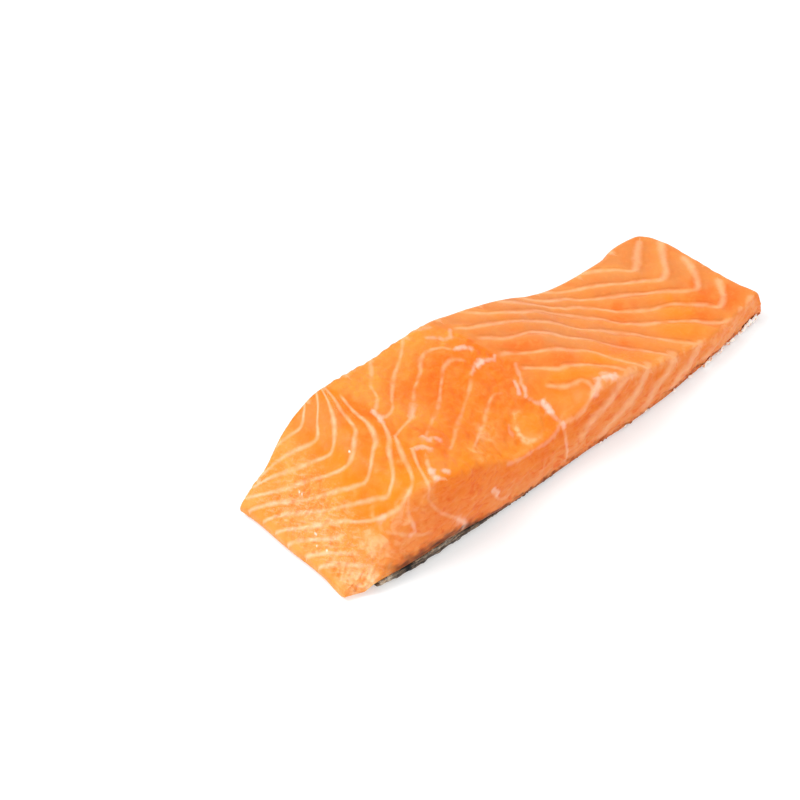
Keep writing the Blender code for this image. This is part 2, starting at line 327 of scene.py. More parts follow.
def between(value, start, full, last, end):
    """Soft step up from start to full, and down again from last to end."""
    return smooth(value, start, full) * fall(value, last, end)


def bell(value, width):
    """Bell curve, 1 where the value is 0."""
    return np.exp(-(value / width) ** 2)


def run_lengths(points):
    """Distance along a path at each of its points."""
    return np.concatenate(([0], np.cumsum(np.linalg.norm(np.diff(points, axis=0), axis=1))))


def unit(ways):
    """Directions with a length of 1."""
    return ways / np.linalg.norm(ways, axis=1)[:, None]


def spaced(points, count):
    """The given number of points at equal distances along a path."""
    run = run_lengths(points)
    at = np.linspace(0, run[-1], count)
    return np.stack([np.interp(at, run, column) for column in points.T], axis=1)


def ripple(places, size, seed):
    """Smooth random waves of about one size, with a spread of 1 about 0."""
    draw = np.random.default_rng(seed)
    ways = unit(draw.normal(size=(wave_count, 3)))
    ways *= 2 * np.pi / size * draw.uniform(0.6, 1.5, (wave_count, 1))
    phases = draw.uniform(0, 2 * np.pi, wave_count)
    return np.cos(places @ ways.T + phases).sum(1) / np.sqrt(wave_count / 2)


def waves(places, *layers):
    """Sum of smooth random waves, each (height, size, seed)."""
    return sum(height * ripple(places, size, seed) for height, size, seed in layers)


# Form of the flesh and the skin, as in the construction but finer.

def flesh_x(station, y):
    """X of a flesh cross-section at a given Y, fanned out to follow the two uneven ends."""
    start = along(thick_end, y)
    return start + station / length * (along(thin_end, y) - start)


def skin_start(y):
    """X where the skin begins at the thick end, trimmed short round the front corner."""
    corner = np.clip(1 - (y - trimmed_from) / trimmed_width, 0, 1)
    return along(thick_end, y) + skin_inset + trimmed_length * corner ** 2


def skin_x(station, y):
    """X of a skin cross-section at a given Y."""
    start = skin_start(y)
    return start + station / length * (along(thin_end, y) - skin_inset - start)


def edge_y(pairs, station, x_of):
    """Y of an edge where a fanned cross-section meets it."""
    return float(along(pairs, x_of(station, along(pairs, station))))


def top_height(x, y):
    """Height of the top, with its rounded short ends."""
    front, back = along(front_brow, x), along(back_edge, x)
    t = np.clip((y - front) / (back - front), 0, 1)
    lift = 1 - (1 - t) ** 2
    height = along(front_height, x) * (1 - lift) + along(back_height, x) * lift
    thick = np.clip(height / 8, 0.2, 1)
    end = np.maximum(np.minimum(x - along(thick_end, y), along(thin_end, y) - x), 0)
    return height - thick * round_off(end, end_radius)


def side_radius(x):
    """Rounding of the front brow at a place along X."""
    depth = along(front_height, x) - skin_thickness - layer_gap
    return np.minimum(along(brow_radius, x), depth / 4)


def cover_point(x, y):
    """The point of the top over a place in the plan, its rounded front and back included."""
    front, back = along(front_brow, x), along(back_edge, x)
    y = np.clip(y, front, back)
    z = top_height(x, np.clip(y, front + side_radius(x), back - back_radius))
    drop = round_off(y - front, side_radius(x)) + round_off(back - y, back_radius)
    return np.stack([x, y, z - drop], axis=-1)


def front_point(x, z):
    """The point of the front cut at a place along X and a height."""
    brow, foot, radius = along(front_brow, x), along(front_foot, x), side_radius(x)
    crest = top_height(x, brow + radius)
    top = crest - radius
    rim = along(front_rim, x) + layer_gap
    t = np.clip((top - z) / (top - rim), 0, 1)
    swell = face_bulge * np.sin(np.pi * t) * np.minimum(top / 12, 1)
    round_in = round_off(np.clip(crest - z, 0, radius), radius)
    return np.stack([x, brow + t * (foot - brow) - swell + round_in, np.minimum(z, crest)], axis=-1)


def bare_sag(x, y):
    """How far the flesh's underside sinks where no skin is under it."""
    bare = smooth(skin_start(y) - bare_margin - x, 0, bare_slope)
    return (skin_thickness + layer_gap - bare_clearance) * bare


def foot_outline(edge, inward, inset, rim):
    """(y, z) points down a plumb side from a rim, round the foot and in to the sole."""
    radius = foot_radius - inset
    first = np.arcsin(np.clip((foot_radius - rim) / radius, 0, 1))
    angles = np.linspace(first, np.pi / 2, foot_points + 1)
    if rim > foot_radius:
        angles = np.linspace(0, np.pi / 2, foot_points)
    outline = [(edge + inward * (foot_radius - radius * np.cos(a)), foot_radius - radius * np.sin(a))
               for a in angles]
    if rim > foot_radius:
        outline.insert(0, (edge + inward * inset, rim))
    return np.array(outline)


def cut_side(brow, foot, inward, crest, radius, rim):
    """(y, z) points of a knife-cut side: the rounded brow, then the slightly swollen face."""
    top = crest - radius
    rim = min(rim, top - bare_clearance)
    bulge = face_bulge * min(top / 12, 1)
    lean = np.arctan2(inward * (brow - foot) + np.pi * bulge, top - rim)
    angles = np.linspace(0, np.pi / 2 - lean, brow_steps + 1)
    arc = np.stack([brow + inward * radius * (1 - np.sin(angles)),
                    crest - radius * (1 - np.cos(angles))], axis=1)
    t = np.linspace(0, 1, face_steps + 1)[1:]
    face = arc[-1] + t[:, None] * (np.array((foot, rim)) - arc[-1])
    face[:, 0] -= inward * bulge * np.sin(np.pi * t)
    return spaced(np.concatenate([arc, face]), side_points + 1)[1:], rim


def sole_between(fore, rear, count):
    """(y, z) points along the flat underside, from the front foot to the back foot."""
    y = np.linspace(fore[-1, 0], rear[-1, 0], count + 2)[1:-1]
    return np.stack([y, np.full(count, fore[-1, 1])], axis=1)


def flesh_ring(station):
    """Points round one cross-section of the flesh: the top, the front, the sole and the back."""
    brow, foot = (edge_y(pairs, station, flesh_x) for pairs in (front_brow, front_foot))
    back = edge_y(back_edge, station, flesh_x)
    radius = float(side_radius(station))
    depth = float(along(front_height, station)) - skin_thickness - layer_gap
    rear_radius = min(back_radius, depth / 4)
    top_y = np.linspace(back - rear_radius, brow + radius, top_points)
    top = np.stack([top_y, top_height(flesh_x(station, top_y), top_y)], axis=1)
    rim = float(along(front_rim, flesh_x(station, foot))) + layer_gap
    front, front_end = cut_side(brow, foot, 1, top[-1, 1], radius, rim)
    rear, rear_end = cut_side(back, back, -1, top[0, 1], rear_radius, back_rim + layer_gap)
    inset = skin_thickness + layer_gap
    fore_foot = foot_outline(foot, 1, inset, front_end)
    rear_foot = foot_outline(back, -1, inset, rear_end)
    sole = sole_between(fore_foot, rear_foot, sole_points)
    lower = np.concatenate([fore_foot, sole, rear_foot[::-1]])
    lower[:, 1] -= bare_sag(flesh_x(station, lower[:, 0]), lower[:, 0])
    outline = np.concatenate([top, front, lower, rear[::-1]])
    return np.column_stack([flesh_x(station, outline[:, 0]), outline])


def torn_rim(station, lap):
    """How far the skin's ragged front rim strays at a cross-section; more where it laps up."""
    wave = 0.5 * np.sin(1.9 * station + 2 * np.sin(0.7 * station)) + 0.5 * np.sin(4.3 * station)
    return (0.12 + 0.10 * min(lap, 2)) * (wave - 0.5)


def skin_ring(station):
    """Points round one cross-section of the skin: its outer face, then its inner face."""
    front, back = (edge_y(pairs, station, skin_x) for pairs in (front_foot, back_edge))
    rim = float(along(front_rim, skin_x(station, front)))
    rim += torn_rim(station, rim - back_rim)
    faces = []
    for inset, count in ((0, skin_sole_points), (skin_thickness, sole_points)):
        fore = foot_outline(front, 1, inset, rim)
        rear = foot_outline(back, -1, inset, back_rim)
        ends = [spaced(foot, foot_points * 2) for foot in (fore, rear)]
        faces.append(np.concatenate([ends[0], sole_between(fore, rear, count), ends[1][::-1]]))
    outline = np.concatenate([faces[0], faces[1][::-1]])
    return np.column_stack([skin_x(station, outline[:, 0]), outline])


def stations(count):
    """Places of the cross-sections along the portion, closer together at its rounded ends."""
    inner = np.linspace(0, length, count - 2 * len(end_steps))
    ends = [length - step for step in end_steps]
    return sorted([*inner, *end_steps, *ends])


def end_cap(ring, first, fresh):
    """Triangles across an end outline, with new points inside. Outline indices start at first
    and new ones at fresh."""
    count = len(ring)
    outline = ring[:, 1:]
    low, high = outline.min(0), outline.max(0)
    inner = [(y, z) for y in np.arange(low[0], high[0], end_grid)
             for z in np.arange(low[1], high[1], end_grid)]
    inner = [p for p in inner if clear_inside(p, outline)]
    points = [Vector(p) for p in (*outline, *inner)]
    edges = [(i, (i + 1) % count) for i in range(count)]
    _, _, triangles, origins, _, _ = delaunay_2d_cdt(points, edges, [], 1, 1e-5)
    names = [first + o[0] if o[0] < count else fresh + o[0] - count for o in origins]
    faces = [tuple(names[i] for i in triangle) for triangle in triangles]
    depth = np.array([np.interp(y, *ends_by_y(ring)) for y, z in inner])
    return faces, np.column_stack([depth, np.array(inner)])


def ends_by_y(ring):
    """Y and X of an end outline, in order of Y."""
    order = np.argsort(ring[:, 1])
    return ring[order, 1], ring[order, 0]


def clear_inside(point, outline):
    """Whether a point lies inside an outline and well clear of it."""
    y, z = point
    ahead = np.roll(outline, -1, axis=0)
    crossing = (outline[:, 1] > z) != (ahead[:, 1] > z)
    rise = np.where(crossing, ahead[:, 1] - outline[:, 1], 1)
    at = outline[:, 0] + (z - outline[:, 1]) / rise * (ahead[:, 0] - outline[:, 0])
    inside = np.count_nonzero(crossing & (at > y)) % 2 == 1
    return inside and np.min(np.hypot(*(outline - point).T)) > end_grid * 0.6


def lofted_mesh(name, rings):
    """Closed mesh through rings of equal count, its two ends filled with small triangles."""
    rows, count = len(rings), len(rings[0])
    points = np.concatenate(rings)
    row = np.arange(rows - 1)[:, None] * count
    a = np.arange(count)
    b = (a + 1) % count
    quads = np.stack([row + b, row + count + b, row + count + a, row + a], axis=-1).reshape(-1, 4)
    thick_faces, thick_points = end_cap(rings[0], 0, len(points))
    fresh = len(points) + len(thick_points)
    thin_faces, thin_points = end_cap(rings[-1], (rows - 1) * count, fresh)
    faces = [*quads.tolist(), *[face[::-1] for face in thick_faces], *thin_faces]
    points = np.concatenate([points, thick_points, thin_points])
    mesh = bpy.data.meshes.new(name)
    mesh.from_pydata(points, [], faces)
    mesh.update()
    return mesh, points


def normals_of(mesh):
    """Vertex normals of a mesh as an array."""
    normals = np.empty(len(mesh.vertices) * 3, np.float32)
    mesh.vertices.foreach_get("normal", normals)
    return normals.reshape(-1, 3).astype(float)


def finish_mesh(mesh, points, values):
    """Puts a mesh's points in the frame, in metres, and stores its surface values."""
    floor = np.array((-overhang, -overhang, 0)) * metres
    places = np.clip((points - middle) * metres, np.array(cad_low) + floor,
                     np.array(cad_high) + overhang * metres)
    mesh.vertices.foreach_set("co", places.astype(np.float32).ravel())
    for name, value in values.items():
        mesh.attributes.new(name, "FLOAT", "POINT").data.foreach_set(
            "value", np.asarray(value, dtype=np.float32))
    mesh.update()
    mesh.shade_smooth()


# Septa and shreds as dense runs of points on the surface, and what the flesh shows there.

sample_step = 0.12
blocks = seam_block, middle_block, flank_block, rear_block, end_block, front_block = range(6)
cut_facing = 0.7
cut_septum_strength = 0.7
cut_septum_points = 60
thin_end_depth = 9
thin_end_height = 9.3
thin_end_points = 90
taper_length = 2.5
septum_groups = 6
evening_passes = 4


def run_of(points):
    """Dense smooth run through a few places, with the direction at each point."""
    points = np.array(points, dtype=float)
    chord = run_lengths(points)
    at = np.arange(0, chord[-1], sample_step)
    run = np.stack([along(np.stack([chord, column], 1), at) for column in points.T], axis=1)
    return run, unit(np.gradient(run, axis=0)), at, chord[-1]


class Trace:
    """Trace of a septum or shred: its points, the side it faces, its strength and its width."""

    def __init__(self, points, sides, strength, width, block, order):
        self.points = points
        self.sides = sides
        self.strength = np.broadcast_to(strength, len(points))
        self.width = np.broadcast_to(width, len(points))
        self.block = block
        self.order = order


def turned(x, y):
    """1 where the flank's septa have turned back near the thin end, 0 before."""
    return smooth(x - along(turning_line, y), -1.0, 1.5)


def tapered(at, whole, start, end):
    """Strength along a run that fades in at its start and out at its end, where asked."""
    strength = np.ones_like(at)
    if start:
        strength *= smooth(at, 0, taper_length)
    if end:
        strength *= smooth(whole - at, 0, taper_length)
    return strength


def top_trace(places, block, order, strength, width, start=False, end=False):
    """Trace over the top, finer where the septa gather at the back, wider where they turn."""
    run, way, at, whole = run_of(places)
    x, y = run.T
    sides = np.stack([-way[:, 1], way[:, 0], np.zeros(len(run))], axis=1)
    gathered = smooth(y, 30, 43) * between(x, 14, 24, 36, 50)
    spread = (1 + 0.22 * np.sin(at / 3.1 + 2 * order)) * (1 - 0.5 * gathered)
    return Trace(cover_point(x, y), sides, tapered(at, whole, start, end) * strength,
                 width * (spread + 0.5 * turned(x, y)), block, order)


def front_trace(places, block, order, strength, width, end=False):
    """Trace down the front cut."""
    run, way, at, whole = run_of(places)
    sides = np.stack([-way[:, 1], np.zeros(len(run)), way[:, 0]], axis=1)
    return Trace(front_point(*run.T), sides, tapered(at, whole, False, end) * strength, width,
                 block, order)


def back_cut_septum(x, order):
    """A septum down the back cut, leaning towards the thin end as it goes down."""
    crest = float(top_height(x, along(back_edge, x) - back_radius))
    depth = np.linspace(0, crest - back_rim, cut_septum_points)
    run_x = x + back_cut_lean * depth + 0.5 * np.sin(depth / 3 + order)
    edge = along(back_edge, run_x)
    limit = top_height(run_x, edge - back_radius)
    z = np.minimum(crest - depth, limit)
    y = edge - round_off(np.clip(limit - z, 0, back_radius), back_radius)
    way = unit(np.stack([np.gradient(run_x), np.gradient(-z)], axis=1))
    sides = np.stack([-way[:, 1], np.zeros(len(z)), -way[:, 0]], axis=1)
    count = 4 * cut_septum_points
    return Trace(spaced(np.stack([run_x, y, z], axis=1), count), spaced(sides, count),
                 cut_septum_strength, 1.0, rear_block, order)


def thin_end_septum(y, order):
    """A septum down the thin end."""
    depth = np.linspace(0, thin_end_depth, thin_end_points)
    run_y = y + thin_end_lean * depth + 0.3 * np.sin(depth + order)
    points = np.stack([along(thin_end, run_y), run_y, thin_end_height - depth], axis=1)
    sides = np.tile((0, 1, 0), (len(depth), 1))
    return Trace(points, sides, cut_septum_strength, 1.1, end_block, order)


def all_septa():
    """Every septum of the flesh, in order within its block of muscle."""
    septa = []
    for order, places in enumerate(back_septa):
        septa.append(top_trace(places, seam_block, order, 1.0, 0.66, start=order == 4))
    for order, places in enumerate(seam_septa):
        septa.append(top_trace(places, seam_block, 20 + order, 0.85, 0.55, end=order == 1))
    for order, places in enumerate(middle_septa):
        septa.append(top_trace(places, middle_block, order, 0.75, 0.62, order > 1, order > 2))
    for order, places in enumerate(flank_septa):
        septa.append(top_trace(places, flank_block, order, 0.85, 0.80, start=order > 4))
    for order, places in enumerate(front_septa):
        strength, width = (0.8, 1.6) if order > 5 else (0.6, 0.6)
        septa.append(front_trace(places, front_block, order, strength, width, end=True))
    septa += [back_cut_septum(x, order) for order, x in enumerate(back_cut_septa)]
    septa += [thin_end_septum(y, order) for order, y in enumerate(thin_end_septa)]
    return septa


def tree_of(points):
    """Search tree of points."""
    tree = kdtree.KDTree(len(points))
    for i, point in enumerate(points):
        tree.insert(point, i)
    tree.balance()
    return tree


def nearest(points, places):
    """Index and distance of the nearest of some points to each place."""
    tree = tree_of(points)
    index, distance = zip(*(tree.find(place)[1:] for place in places.tolist()))
    return np.array(index), np.array(distance)


def joined(traces, name):
    """One quantity of several traces, end to end."""
    return np.concatenate([getattr(trace, name) for trace in traces])


def blocks_of(places, normals):
    """Which block of muscle each place belongs to."""
    x, y = places[:, 0], places[:, 1]
    block = np.where(x < along(seam_line, y), seam_block,
                     np.where(x < along(tissue_line, y), middle_block, flank_block))
    block[(normals[:, 1] < -cut_facing) & (x > 12)] = front_block
    block[normals[:, 1] > cut_facing] = rear_block
    block[(normals[:, 0] > cut_facing) & (x > 150)] = end_block
    return block


def share_to_next(places, septa):
    """How far each place is from its nearest septum, as a share of that and the next nearest."""
    reach = [nearest(joined(septa[first::septum_groups], "points"), places)[1]
             for first in range(septum_groups)]
    first, second = np.sort(reach, axis=0)[:2]
    return first / np.maximum(first + second, 1e-6)


def nearest_septum(places, septa):
    """Signed distance to the nearest septum in its own half-widths, and how strongly it shows."""
    index, distance = nearest(joined(septa, "points"), places)
    away = places - joined(septa, "points")[index]
    sign = np.sign(np.einsum("ij,ij->i", away, joined(septa, "sides")[index]))
    reach = distance / joined(septa, "width")[index]
    shown = joined(septa, "strength")[index] * fall(reach, 1.9, 2.8)
    shared = smooth(share_to_next(places, septa), 0.32, 0.45)
    return sign * np.minimum(reach, 4), shown * (1 - shared * smooth(reach, 0.6, 1.1))


def between_septa(places, septa):
    """How far each place is from one septum to the next in order, and how clearly it lies
    between the two."""
    found = []
    for remainder in range(3):
        group = [s for s in septa if s.order % 3 == remainder]
        order = np.concatenate([np.full(len(s.points), s.order) for s in group])
        index, distance = nearest(joined(group, "points"), places)
        found.append((distance, order[index], joined(group, "strength")[index]))
    found = np.array(found)
    rank = np.argsort(found[:, 0], axis=0)[:2]
    (d1, d2), (o1, o2), (f1, f2) = (np.take_along_axis(found[:, k], rank, axis=0) for k in range(3))
    share = d1 / np.maximum(d1 + d2, 1e-6)
    return (np.where(o1 < o2, share, 1 - share),
            (f1 * (1 - share) + f2 * share) * fall(d1 + d2, 9, 16))


def shred_amount(places):
    """How much pale tissue lies at each place."""
    shreds = [make(run, 0, 0, strength, width)
              for make, table in ((top_trace, top_shreds), (front_trace, front_shreds))
              for width, strength, run in table]
    total = np.zeros(len(places))
    ragged = waves(places, (0.25, 2.6, 61), (0.12, 1.3, 62))
    for shred in shreds:
        index, distance = nearest(shred.points, places)
        reach = distance / shred.width[index] + ragged
        total = np.maximum(total, shred.strength[index] * fall(reach, 0.1, 1.6))
    return total


def spots(places, centres):
    """Sum of soft round spots, each (X, Y, radius)."""
    total = sum(bell(np.hypot(places[:, 0] - x, places[:, 1] - y), radius)
                for x, y, radius in centres)
    return np.minimum(total, 1)


def from_septum(phase, turning, profile):
    """A profile that runs from one septum to the next, and backwards where they have turned."""
    return (1 - turning) * profile(phase) + turning * profile(1 - phase)


def tone_profile(phase):
    """Lightness between two septa: bright just past the first, deepening to the second; partly
    the layers' own colour, partly painted light and shade of their steps.
    """
    return np.exp(-phase / 0.28) - smooth(phase, 0.4, 1.0)


def step_profile(phase):
    """Height between two septa: a steep rise past the first, then a long fall."""
    return smooth(phase, 0, 0.22) * fall(phase, 0.12, 1.05) - 0.45


def lobe_shape(x, y):
    """Height of the lobe of fat with the groove round it, how much a place is on it, and how
    much on its pale rim, which shows most towards the thick end and is partly pale tissue, partly
    a painted highlight."""
    reach = np.hypot((x - lobe_middle[0]) / lobe_half[0], (y - lobe_middle[1]) / lobe_half[1])
    reach = reach + waves(np.stack([x, y, 0 * x], axis=1), (0.10, 5, 33))
    height = lobe_height * fall(reach, 0.2, 1.15) - groove_depth * bell(reach - 1.08, 0.16)
    pale_rim = bell(reach - 0.90, 0.20) * smooth(lobe_middle[0] - x, -3, 4)
    return height, fall(reach, 0.6, 1.1), pale_rim


def evened(value):
    """A value of the flesh's surface, averaged with its neighbours along it and round it."""
    rows, count = flesh_stations, len(flesh_ring(0))
    grid = value[:rows * count].reshape(rows, count)
    for _ in range(evening_passes):
        grid = (np.roll(grid, 1, axis=1) + 2 * grid + np.roll(grid, -1, axis=1)) / 4
        grid = (grid[[0, *range(rows - 1)]] + 2 * grid + grid[[*range(1, rows), rows - 1]]) / 4
    return np.concatenate([grid.ravel(), value[rows * count:]])


def flesh_parts(places, normals):
    """How much each place belongs to each part of the flesh, from 0 to 1, and its distances to
    the lines and heights that part them."""
    x, y, z = places.T
    at = SimpleNamespace(x=x, y=y, z=z)
    at.top = smooth(normals[:, 2], 0.15, 0.55)
    at.ahead = waves(places, (0.06, 4, 31)) - normals[:, 1]
    at.front = smooth(at.ahead, 0.45, 0.85) * smooth(x, 1, 4)
    at.rear = smooth(normals[:, 1], 0.45, 0.8)
    at.on_cut = at.front + at.rear > 0.5
    at.cut = np.maximum(at.front * smooth(x + ripple(places, 3, 32), 9, 15), at.rear)
    # The steep thick end, its edge, and where it is rough.
    at.slope = fall(x - 0.12 * y, 8, 16) * np.maximum(at.top, fall(x, 9, 13))
    at.end_edge = at.slope * fall(x, 6, 11)
    at.rough = at.slope * smooth(x, 0.5, 2.5) * smooth(y, -6, 0) * (1 - 0.6 * smooth(y, 30, 40))
    # Back muscle, hollow with its sunk middle, and flank, with the place where its septa turn.
    at.seam_gap, at.tissue_gap = x - along(seam_line, y), x - along(tissue_line, y)
    at.back, at.flank = fall(at.seam_gap, -1, 1), smooth(at.tissue_gap, -1, 1)
    at.hollow = (1 - at.flank) * (1 - at.back) * at.top
    at.lobe, at.on_lobe, at.lobe_rim = (at.hollow * share for share in lobe_shape(x, y))
    at.sunk = (at.hollow - at.on_lobe) * smooth(x - 0.35 * y, 40, 50) * fall(y, 30, 40)
    at.turning = turned(x, y) * at.top
    at.near_end = smooth(x, 138, 150)
    at.near_back = smooth(y - along(back_edge, x), -9, -3)
    # Heights of the crest above a side and of the skin's rim below it.
    behind = y > 20
    at.crest = np.where(behind, along(back_height, x), along(front_height, x))
    at.rim = np.where(behind, back_rim, along(front_rim, x)) + layer_gap
    at.below_crest = smooth(at.crest - z, 0.5, 4)
    return at


def by_part(at, back, hollow, flank):
    """A value given for the back muscle, the hollow and the flank, blended between them."""
    return back * at.back + hollow * at.hollow + flank * at.flank


def add_septa(at, places, normals):
    """Septa and shreds at each place, and the lightness of the layers between the septa, which is
    partly painted light and shade.
    """
    septa = all_septa()
    at.offset, shown = nearest_septum(places, septa)
    at.phase, at.band = np.zeros((2, len(places)))
    block = blocks_of(places, normals)
    for number in blocks:
        here = block == number
        of_block = [s for s in septa if s.block == number]
        at.phase[here], at.band[here] = between_septa(places[here], of_block)
    at.shreds = shred_amount(places)
    strength = by_part(at, *line_strengths) - 0.22 * at.slope * at.back
    strength = np.where(at.on_cut, cut_line_strength, strength)
    strength = strength + 0.14 * at.turning + 0.10 * at.end_edge
    broken = (0.20 + 0.20 * at.hollow) * (1 - 0.8 * at.turning)
    faded = smooth(ripple(places, 3.5, 12), -0.6, 0.8) * (1 - at.end_edge)
    shown = shown * np.clip(0.9 + broken * ripple(places, 4, 11), 0.25, 1.15) * strength
    at.shown = shown * (1 - 0.45 * at.rough * faded) * (1 - 0.75 * at.front * at.near_end)
    # On the front cut, the layers are soft bands, clearest from its middle to near the thin end,
    # with painted shade between the rounded bands.
    front_bands = 0.3 + 0.7 * smooth(at.x, 80, 92) - 0.8 * at.near_end
    at.wave = np.where(at.front > 0.5, front_bands, 1) * np.cos(2 * np.pi * at.phase)
    tone = from_septum(at.phase, at.turning, tone_profile) * by_part(at, *tone_strengths)
    bands = cut_band_tone * at.wave + 0.10
    at.tone = evened(np.where(at.on_cut & (at.x > 12), bands, tone) * at.band)


def add_foot(at, places, normals):
    """Brown foot of the front cut, partly painted shade low down by the floor, dark painted shade
    next to the skin, and brown painted shade along the back edge, where it turns away from the light.
    """
    near_skin = fall(at.x, 36, 52)
    # The foot's brown is partly painted shade, strongest low down near the skin's rim.
    height = at.z - at.rim + 0.4 * ripple(places * (0.5, 1, 1), 1.8, 29)
    at.foot = fall(height, 0.2, 2.4 + 2.4 * near_skin) * at.front
    # Painted shade on the front cut just above the skin, where flesh and skin meet by the floor.
    stain = fall(height, 0.2, 1.4 + 1.4 * near_skin) * at.front
    at.stain = stain * between(at.x, 11, 18, 64, 92)
    # Painted shade along the back edge, just under the crest, where the surface turns away from the
    # light.
    dried = 0.5 * smooth(normals[:, 1], 0.45, 0.75) * fall(at.crest - at.z, 1, 3)
    at.dried = dried * between(at.x, 48, 60, 104, 116)


def brow_tint(at, normals):
    """Paleness of the front brow, and of the cut just below it near both of its ends: partly pale
    flesh, partly a painted highlight on the rounded brow and the top of the cut.
    """
    x = at.x
    # Paleness where the brow rounds over, partly a painted highlight.
    brow = between(at.ahead, 0.10, 0.40, 0.70, 0.97) * smooth(normals[:, 2], 0, 0.2)
    inward = at.y - along(front_brow, x) - side_radius(x)
    brow = np.maximum(brow, 0.8 * fall(inward, -1.0, 3.2 - 1.6 * smooth(x, 8, 20)) * at.top)
    brow = brow * (1 - 0.55 * smooth(x, 30, 46) + 0.45 * smooth(x, 82, 100) - 1.3 * at.near_end)
    # Pale band on the cut just below the crest, partly a painted highlight on the upper rounding.
    below = 0.55 * at.front * fall(at.crest - at.z - 1.5 * at.near_end, 1.5, 4.5)
    below = below * np.maximum(fall(x, 34, 44), smooth(x, 96, 110))
    return 0.9 * np.maximum(np.maximum(brow, below), 0)


def layer_relief(at, normals):
    """Height of the layers and septa: steps on the top, ridges on the cut sides."""
    level = at.top * fall(at.ahead, 0.42, 0.68) * (1 - 0.85 * at.turning)
    level = level * (1 - 0.95 * at.near_back)
    step = from_septum(at.phase, at.turning, step_profile) * at.band
    ridge = cut_ridge * at.wave * at.band * smooth(np.abs(normals[:, 1]), 0.72, 0.92)
    relief = evened(step * by_part(at, *layer_heights) * level + ridge * at.below_crest)
    return relief + at.shown * bell(at.offset, 0.9) * by_part(at, *line_heights) * level


def flesh_relief(at, places, normals):
    """How far the surface of the flesh stands out, none of it at the skin or underneath."""
    relief = layer_relief(at, normals) + at.lobe + shred_height * at.shreds
    seam = bell(at.seam_gap, 2.2) * smooth(at.y, 4, 14) * smooth(45 - at.y, 2, 8) * at.top
    edge = np.exp(np.minimum(at.tissue_gap, 0) / 3.5) * fall(at.tissue_gap, -0.5, 0.6)
    relief -= seam_depth * seam + tissue_step * edge * fall(at.y, 16, 26) * at.top
    relief += at.rough * waves(places, (0.17, 1.8, 21), (0.07, 1.0, 22))
    relief += (1 - 0.8 * at.near_back) * waves(places, (0.13, 13, 23), (0.05, 4.5, 24))
    relief += at.hollow * waves(places, (0.10, 3.0, 27))
    fibres = (waves(places * (0.45, 1, 1), (0.11, 2.8, 25))
              + waves(places * (0.5, 1, 1), (0.05, 1.3, 26)))
    relief += (at.front + at.rear) * at.below_crest * fibres
    nicks = np.clip(waves(places, (0.25, 1.5, 28)) + 0.1, -0.05, 0.5)
    relief -= at.foot * smooth(at.x, 50, 70) * nicks
    return relief * smooth(at.z, at.rim, at.rim + 0.7) * smooth(normals[:, 2], -0.5, -0.1)


def flesh_values(places, normals):
    """How far the flesh's surface stands out at each place, and what it shows there."""
    at = flesh_parts(places, normals)
    add_septa(at, places, normals)
    add_foot(at, places, normals)
    # The lobe's pale rim is partly pale tissue and partly a painted highlight.
    x, lobe = at.x, 0.8 * at.lobe_rim + 0.12 * at.on_lobe
    down = smooth((at.crest - at.z) / np.minimum(at.crest, 22), 0.14, 0.58)
    wavy = places + waves(places, (0.8, 5, 34))[:, None]
    creamy = spots(wavy, creamy_spots)
    cream = (0.2 * smooth(x, 50, 62) + 0.35 * smooth(x, 86, 104) + 0.6 * fall(x, 28, 36)
             + 0.7 * at.lobe_rim + 0.45 * creamy)
    values = {
        "septum_offset": at.offset, "septum_shown": at.shown, "tone": at.tone,
        "shreds": at.shreds, "rough": at.rough, "slope": at.slope, "flank": at.flank * at.top,
        # The foot value holds the foot's brown, partly painted shade, and the back edge's painted
        # shade.
        "cut": at.cut, "foot": np.maximum(at.foot, at.dried), "stain": at.stain,
        "sunk": at.sunk, "turned": at.turning, "light": 0.36 * (at.hollow - at.sunk),
        "hollow": at.hollow,
        "down": down * (at.front + at.rear) * (0.4 + 0.6 * smooth(x, 42, 62)),
        "brow": brow_tint(at, normals),
        "cream": np.maximum(at.slope, cream),
        "yellow": np.clip(spots(wavy, yellow_spots) + 0.5 * at.on_lobe, 0, 1) * (1 - 0.7 * at.cut),
        "deep": spots(wavy, deep_spots) * (1 - at.cut) * (1 - 0.6 * at.slope),
        "pale": np.clip(spots(wavy, pale_spots) + 0.8 * creamy + lobe, 0, 1) * (1 - at.cut),
        "glint": smooth(spots(places, [(*spot, glint_radius) for spot in glints]), 0.3, 0.6) * at.top,
    }
    return flesh_relief(at, places, normals), values


# Materials.

